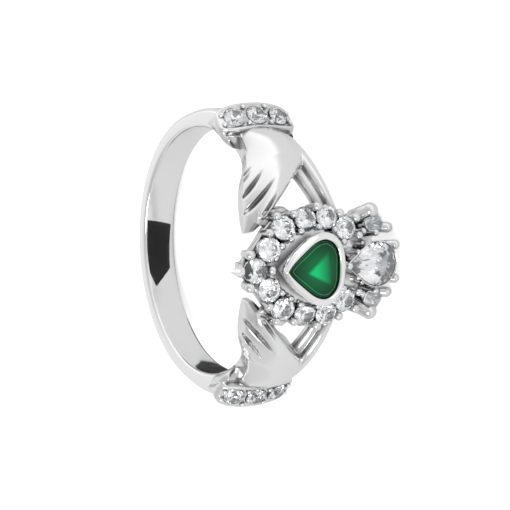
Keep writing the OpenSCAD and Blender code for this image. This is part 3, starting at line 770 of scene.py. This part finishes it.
def rail():
    z = BORE_R + 0.5
    path = [(halo_at(0)[0][0], -0.4, z + 0.1)]
    for i in range(len(HALO)):
        at = halo_at(i)[0]
        path.append((at[0] * 0.97, at[1] * 0.96, z + 0.12 * (5 - i) / 6))
    path += [(SIDE_AT[0] - 0.4, SIDE_AT[1] - 0.1, z - 0.8), (DROP_PT + DROP_LEN * 0.66, -0.3, z - 0.5)]
    path = eased(path, 60)
    half = [(0.9, 1.08), (0.98, 1.0), (0.92, 0.9), (0.74, 0.35), (0.6, 0.02)]
    section = [(-s, h) for s, h in half[::-1]] + half
    rings = []
    for i, at in enumerate(path):
        run = path[min(i + 1, len(path) - 1)] - path[max(i - 1, 0)]
        out = np.array([-run[1], run[0], 0]) / math.hypot(run[0], run[1]) * RAIL_W / 2
        rings.append([at + out * s + (0, 0, h) for s, h in section])
    return soften(mesh_object("halo_rail", both([skin(rings)])), 50)


def plates():
    """The crown's floor and the webs between fingertips and halo."""
    floor_edge = [(1.95, 2.0), (3.9, 2.9), (5.9, 2.85), (6.5, 1.7), (6.85, 0)]
    floor_edge += [(a, -t) for a, t in floor_edge[-2::-1]]
    web = [(-2.75, 3.0), (-2.65, 3.7), (-0.55, 3.95), (0.25, 3.45), (-1.1, 2.3)]
    other_web = [(a, -t) for a, t in web]
    shells = []
    bridge = [(2.1, 2.0), (3.7, 2.15), (5.0, 1.6), (5.0, -1.6), (3.7, -2.15), (2.1, -2.0)]
    for line, low, high in ((floor_edge, 0.35, 0.9), (bridge, 0.7, 1.75),
                            (web, 0.45, 1.45), (other_web, 0.45, 1.45)):
        line = np.array(line)
        rings = [np.column_stack([grown(line, by, line.mean(0)), np.full(len(line), BORE_R + z)])
                 for by, z in ((-0.15, low), (-0.02, low + 0.2), (-0.001, high - 0.15), (-0.12, high))]
        shells.append(skin(rings))
    return soften(mesh_object("crown_floor_and_webs", shells), 40)


def heart_rim():
    w = RIM_W
    line = outline(HEART_HALF, HEART_LEN, HEART_W, 64)
    steps = [
        (-0.2, -2.3), (-0.1, -1.3), (w * 0.5, -0.6), (w * 0.9, -0.2), (w * 0.98, 0.0), (w * 0.95, 0.12),
        (w * 0.85, 0.22), (w * 0.65, 0.3), (w * 0.4, 0.34), (w * 0.15, 0.335), (-0.04, 0.28), (-0.08, 0.2),
        (-0.09, 0.14), (0.03, 0.08), (0.035, -0.06), (-0.17, -0.42), (-0.5, -1.15), (-0.5, -2.3),
    ]
    thin_tip = 1 - 0.5 * np.exp(-((line[:, 0] / 0.45) ** 2))
    rings = stack(line, HEART_MID, steps, HEART_AT, thin_tip)
    return soften(mesh_object("heart_rim", [frame_shell(rings)]), 50)


def heart_shelf():
    line = outline(HEART_HALF, HEART_LEN, HEART_W, 40)
    outer = [(0.55, -2.5), (0.75, -2.4), (0.78, -1.55), (0.7, -1.42)]
    inner = [(0.45, -1.35), (-0.45, -1.35), (-0.5, -1.8), (-0.5, -2.5)]
    rings = stack(line, HEART_MID, outer + inner, HEART_AT)
    return soften(mesh_object("heart_shelf", [frame_shell(rings)]), 50)


def heel_point():
    at = halo_at(0)[0]
    table = [(-0.2, -0.75, 0.55, 0.6), (-0.8, -0.6, 0.46, 0.5), (-1.2, -0.42, 0.3, 0.3),
             (-1.55, -0.3, 0.12, 0.11), (-1.7, -0.27, 0.03, 0.03)]
    rows = eased(table, 24)
    turn = np.linspace(0, 2 * math.pi, 28, endpoint=False)
    rings = [[at + (s, w * math.cos(t), z + h * math.sin(t)) for t in turn] for s, z, w, h in rows]
    return soften(mesh_object("heel_point", [skin(rings)]), 60)


def drop_cup():
    line = outline(DROP_HALF, DROP_LEN, DROP_W, 48)
    steps = [
        (-0.62, -2.1), (-0.4, -1.2), (0.02, -0.3), (0.1, -0.1), (0.11, -0.02), (0.07, 0.02), (0.03, -0.02),
        (0.02, -0.08), (-0.25, -0.4), (-0.6, -0.9), (-0.8, -1.2),
    ]
    rings = stack(line, DROP_MID, steps, DROP_AT)
    return soften(mesh_object("drop_cup", [skin(rings)]), 50)


# Stones.
def brilliant(reach, deep=1.0, table=0.56, turn=0.0):
    """(points, faces) of a brilliant cut whose girdle lies at reach(angle) from the middle."""
    girdle, crown, low = 0.035, 0.33 * deep, 0.86 * deep
    star, pavilion = 0.79, 0.24
    rise = crown / (1 - table)
    points, faces = [], []

    def add(angle, share, z):
        r = reach(angle + turn) * share
        way = math.radians(angle + turn)
        points.append((r * math.cos(way), r * math.sin(way), z))
        return len(points) - 1

    half = math.cos(math.radians(22.5))
    tops = [add(45 * k, table, girdle + crown) for k in range(8)]
    stars = [add(45 * k + 22.5, star, girdle + (1 - star * half) * rise) for k in range(8)]
    upper = [add(22.5 * k, 1, girdle) for k in range(16)]
    lower = [add(22.5 * k, 1, -girdle) for k in range(16)]
    deeps = [add(45 * k + 22.5, pavilion, -girdle - (1 - pavilion * half) * low) for k in range(8)]
    culet = add(0, 0.0, -girdle - low)
    faces.append(tops)
    for k in range(8):
        n = (k + 1) % 8
        faces.append((tops[k], stars[k], tops[n]))
        faces.append((tops[n], stars[k], upper[2 * n], stars[n]))
        faces.append((stars[k], upper[2 * k], upper[2 * k + 1]))
        faces.append((stars[k], upper[2 * k + 1], upper[(2 * k + 2) % 16]))
        faces.append((lower[2 * k], deeps[k], lower[2 * k + 1]))
        faces.append((lower[2 * k + 1], deeps[k], lower[(2 * k + 2) % 16]))
        faces.append((lower[2 * n], deeps[k], culet, deeps[n]))
    for k in range(16):
        n = (k + 1) % 16
        faces.append((upper[k], lower[k], lower[n], upper[n]))
    return np.array(points), faces


def round_stones(name, places, nodes, d=ROUND_STONE_D, finish=clear):
    shells = []
    for k, place in enumerate(places):
        points, faces = brilliant(lambda _: d / 2, 0.75, turn=17 * k)
        shells.append((place(points), faces))
    piece = mesh_object(name, shells)
    dress(piece, finish, "clear_stone", *nodes)


def halo_stones():
    places, nodes = [lambda p: lean(p, *halo_at(0))], ["halo_point_stone"]
    for i in range(1, len(HALO)):
        places.append(lambda p, i=i: flipped(lean(p, *halo_at(i))))
        places.append(lambda p, i=i: lean(p, *halo_at(i)))
        nodes += [f"halo_left_stone_{i}", f"halo_right_stone_{i}"]
    round_stones("halo_stones", places, nodes, WIDE_STONE_D)


def crown_side_stones():
    for side, place in (("left", lambda p: flipped(lean(p, SIDE_AT, SIDE_LEAN, SIDE_LEAN_ALONG))),
                        ("right", lambda p: lean(p, SIDE_AT, SIDE_LEAN, SIDE_LEAN_ALONG))):
        round_stones(f"crown_{side}_cut_stone", [place], [f"crown_{side}_stone"], WIDE_STONE_D, low_clear)


def cuff_stones():
    for side, flip in (("left", flipped), ("right", np.asarray)):
        places = [lambda p, k=k, flip=flip: flip(at_cuff(k, p)) for k in range(3)]
        round_stones(f"cuff_{side}_cut_stones", places, [f"cuff_{side}_stone_{k + 1}" for k in range(3)])


def drop_stone():
    line = outline(DROP_HALF, DROP_LEN, DROP_W, 200) - DROP_MID
    angles, far = np.degrees(np.arctan2(line[:, 1], line[:, 0])) % 360, np.hypot(line[:, 0], line[:, 1])
    order = np.argsort(angles)

    def reach(angle):
        return float(np.interp(angle % 360, angles[order], far[order], period=360))

    points, faces = brilliant(reach, 1.2, 0.55)
    points = points + (DROP_MID[0], 0, 0)
    turn = np.array(Matrix.Rotation(math.radians(1.5), 3, "Y"))
    piece = mesh_object("crown_drop_cut_stone", [(points @ turn.T + DROP_AT, faces)])
    dress(piece, clear, "clear_stone", "crown_drop_stone")


def heart_stone():
    """Its top slopes in from the edge to a line of facets, then domes; "cut" marks the edge for painted shade
    and the line for a painted highlight.
    """
    line = outline(HEART_HALF, HEART_LEN, HEART_W, 40)
    top = [
        (0.0, -0.05, 1), (0.0, 0.06, 1), (-0.16, 0.14, 1), (-0.21, 0.17, 0), (-0.31, 0.25, 0),
        (-0.33, 0.26, 0.5), (-0.36, 0.27, 0.5), (-0.38, 0.275, 0), (-0.75, 0.33, 0), (-1.2, 0.36, 0),
    ]
    rings = stack(line, HEART_MID, [(by, z) for by, z, _ in top], HEART_AT)
    below = [(0.34, -1.3), (0.5, -0.95), (0.8, -0.35)]
    low = [np.column_stack([(line - HEART_MID) * share + HEART_MID, np.full(len(line), z)]) + HEART_AT
           for share, z in below]
    points, faces = skin([*low, *rings])
    piece = mesh_object("heart_cut_stone", [(points, faces)])
    marks = [0] * len(low) + [mark for _, _, mark in top]
    values = np.append(np.repeat(marks, len(line)), [0, 0]).astype(float)
    piece.data.attributes.new("cut", "FLOAT", "POINT").data.foreach_set("value", values)
    dress(piece, green, "green_stone", "heart_stone")


# The metal.
def cuffs():
    piece = cuff_skin()
    cone = [(0.01, 0.6), (0.80, 0.6), (0.80, -0.06), (0.42, -0.42), (0.01, -0.74)]
    points, faces = turned(cone, 32)
    cutter = mesh_object("cuff_seats", both([(at_cuff(k, points), faces) for k in range(3)]))
    cut = piece.modifiers.new("seats", "BOOLEAN")
    cut.operation, cut.solver, cut.object = "DIFFERENCE", "EXACT", cutter
    settle(piece)
    bpy.data.objects.remove(cutter)
    return soften(piece, 35)


def cuff_grain_rows():
    rows = []
    for x in (-0.86, -0.285, 0.285, 0.86):
        for side in (-1, 1):
            off = side * cuff_half(x) * (0.45 if abs(x) > 0.5 else 0.62)
            rows.append((cuff_point(x, off, -0.25), cuff_point(x, off, 0.05), 0.36))
    return mirrored_rows(rows)


def claw_piece(name, rows, **inputs):
    return claws(name, [f for f, _, _ in rows], [t for _, t, _ in rows], [d for _, _, d in rows], **inputs)


metal = [
    band(), cuffs(), hand("upper_hand", 1), hand("lower_hand", -1), settings(), rail(), plates(),
    heart_rim(), heart_shelf(), heel_point(), drop_cup(),
]
soften(metal[0], 40)
metal.append(claw_piece("halo_claws", halo_claw_rows()))
crown_rows = [(f, t, CROWN_CLAW_D * d) for f, t, d in CROWN_CLAWS]
crown_rows.append(((DROP_PT + 0.2, 0, BORE_R + 1.6), (DROP_PT - 0.02, 0, BORE_R + DROP_RISE + 0.1), 0.5))
metal.append(claw_piece("crown_claws", mirrored_rows(crown_rows), foot_share=0.5))
metal.append(claw_piece("cuff_grains", cuff_grain_rows(), foot_share=0.5, sides=12))
finishes = {
    "halo_and_crown_cups": bright_seat, "drop_cup": bright_seat,
    "upper_hand": satin, "lower_hand": satin, "cuffs": satin,
    "halo_rail": setting, "crown_floor_and_webs": setting, "heart_shelf": setting,
    "halo_claws": setting, "crown_claws": setting,
}
for piece in metal:
    dress(piece, finishes.get(piece.name, silver), "silver", "silver_ring")
halo_stones()
crown_side_stones()
cuff_stones()
drop_stone()
heart_stone()


# Floor, light and camera.
def floor():
    mesh = bpy.data.meshes.new("floor")
    half = 0.5
    corners = [(-half, -half, 0), (half, -half, 0), (half, half, 0), (-half, half, 0)]
    mesh.from_pydata(corners, [], [(0, 1, 2, 3)])
    piece = bpy.data.objects.new("floor", mesh)
    bpy.context.scene.collection.objects.link(piece)
    mesh.materials.append(floor_finish)


# Dark flags for painted reflections: sheets seen only in the mirror of the metal, put where it is to show
# something dark.
# One is bent as the band is: degrees, and place along the finger of both edges. The other lies on the floor:
# corners in millimetres.
BACK_FLAG = [(172.4, -0.90, -0.80), (174.6, -0.88, 1.40), (195, -0.80, 1.15), (202.5, -0.35, -0.25)]
SIDE_FLAG = [
    (-5.0, 7.6), (-5.2, 6.6), (-6.0, 6.0), (-7.2, 5.0), (-8.4, 4.4), (-8.6, 5.4), (-8.2, 6.6),
    (-7.2, 7.5), (-6.2, 7.9),
]


def flag(name, points, faces):
    mesh = bpy.data.meshes.new(name)
    mesh.from_pydata(np.asarray(points).tolist(), [], faces)
    piece = bpy.data.objects.new(name, mesh)
    bpy.context.scene.collection.objects.link(piece)
    mesh.materials.append(flag_finish)
    piece.visible_camera = piece.visible_diffuse = piece.visible_shadow = piece.visible_transmission = False


def bent_flag(name, rows, r, steps=24):
    angle = np.linspace(rows[0][0], rows[-1][0], steps)
    edges = [np.interp(angle, [row[0] for row in rows], [row[k] for row in rows]) for k in (1, 2)]
    points = laid(np.vstack([around(edge, angle, r) for edge in edges]))
    flag(name, points, [(k, k + 1, steps + k + 1, steps + k) for k in range(steps - 1)])


def lamp(name, at, size, power):
    light = bpy.data.lights.new(name, "AREA")
    light.shape, light.size, light.energy = "SQUARE", size, power
    holder = bpy.data.objects.new(name, light)
    bpy.context.scene.collection.objects.link(holder)
    holder.location = at
    holder.rotation_euler = (Vector((0, 0, 0.005)) - Vector(at)).to_track_quat("-Z", "Y").to_euler()


def studio():
    """A soft box of a room: bright low down and to the right, grey overhead."""
    world = bpy.data.worlds.new("studio")
    bpy.context.scene.world = world
    world.use_nodes = True
    nodes, links = world.node_tree.nodes, world.node_tree.links
    where = nodes.new("ShaderNodeTexCoord")

    def facing(direction, low, high, start, end):
        dot = nodes.new("ShaderNodeVectorMath")
        dot.operation = "DOT_PRODUCT"
        dot.inputs[1].default_value = direction
        links.new(where.outputs["Generated"], dot.inputs[0])
        return ranged(nodes, links, dot.outputs["Value"], low, high, start, end)

    level = nodes.new("ShaderNodeMath")
    level.operation = "MULTIPLY"
    links.new(facing((0, 0, 1), 1.05, 0.62, 0.1, 0.9), level.inputs[0])
    links.new(facing((0.98, -0.17, 0), 0.70, 1.15, -0.8, 0.8), level.inputs[1])
    links.new(level.outputs["Value"], nodes["Background"].inputs["Strength"])
    nodes["Background"].inputs["Color"].default_value = (1, 1, 1, 1)
    lamp("key", (-0.12, -0.10, 0.22), 0.12, 0.19)


# The camera, from the photograph: degrees turned, raised and rolled from a look straight down on the heart,
# millimetres from the ring's middle, pixels a millimetre there, and that middle's place in the picture.
CAM_TURN, CAM_RISE, CAM_ROLL = 30.395, 7.126, 0.211
CAM_FAR, CAM_SCALE, CAM_X, CAM_Y = 129.97, 14.1935, 216.29, 249.64
PICTURE, SENSOR = 510, 36


def camera():
    turn, rise, roll = (math.radians(v) for v in (CAM_TURN, CAM_RISE, CAM_ROLL))
    out = np.array([-math.sin(turn), 0, math.cos(turn)])
    right, up = np.array([math.cos(turn), 0, math.sin(turn)]), np.array([0, 1, 0])
    back = math.cos(rise) * out + math.sin(rise) * up
    up = math.cos(rise) * up - math.sin(rise) * out
    right, up = math.cos(roll) * right + math.sin(roll) * up, math.cos(roll) * up - math.sin(roll) * right
    middle = PICTURE / 2
    eye = CAM_FAR * back - (CAM_X - middle) / CAM_SCALE * right + (CAM_Y - middle) / CAM_SCALE * up
    lens = bpy.data.cameras.new("camera")
    lens.sensor_width, lens.lens = SENSOR, CAM_SCALE * CAM_FAR * SENSOR / PICTURE
    lens.clip_start, lens.clip_end = 0.005, 10
    holder = bpy.data.objects.new("camera", lens)
    bpy.context.scene.collection.objects.link(holder)
    place = np.eye(4)
    place[:3, 0], place[:3, 1], place[:3, 2] = LAY @ right, LAY @ up, LAY @ back
    place[:3, 3] = laid(eye)
    holder.matrix_world = Matrix(place.tolist())
    bpy.context.scene.camera = holder


floor()
bent_flag("back_flag", BACK_FLAG, BORE_R - 0.75)
flag("side_flag", [(x * MM, y * MM, 0.02 * MM) for x, y in SIDE_FLAG], [tuple(range(len(SIDE_FLAG)))])
studio()
camera()
bpy.context.scene.view_settings.view_transform = "Standard"
